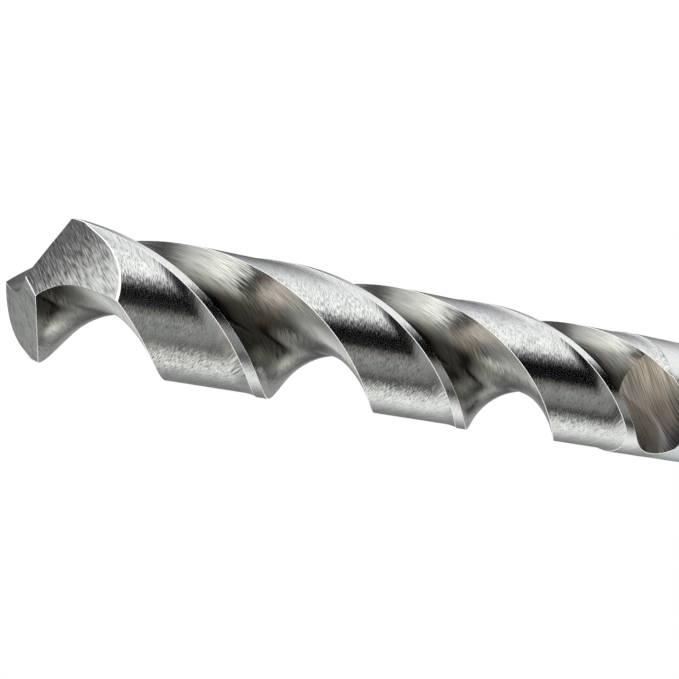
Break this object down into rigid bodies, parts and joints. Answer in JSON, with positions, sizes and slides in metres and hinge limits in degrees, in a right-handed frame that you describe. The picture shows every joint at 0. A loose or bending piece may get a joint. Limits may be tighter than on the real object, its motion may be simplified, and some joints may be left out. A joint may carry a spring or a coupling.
{
  "type": "twist drill bit",
  "caption": "Straight-shank twist drill for metal: helical flutes and margins, and a point ground as skewed cones that meet in a chisel edge.",
  "frame": {"origin": "centre of the shank's flat end", "axes": "+Z along the axis from the shank to the point, +X through the outer corner of one cutting lip"},
  "size_m": [0.012, 0.012, 0.151],
  "materials": {
    "ground_steel": "bright ground high-speed steel, with fine grinding lines"
  },
  "bodies": {
    "root": {"drill_bit": "ground_steel"}
  },
  "joints": []
}
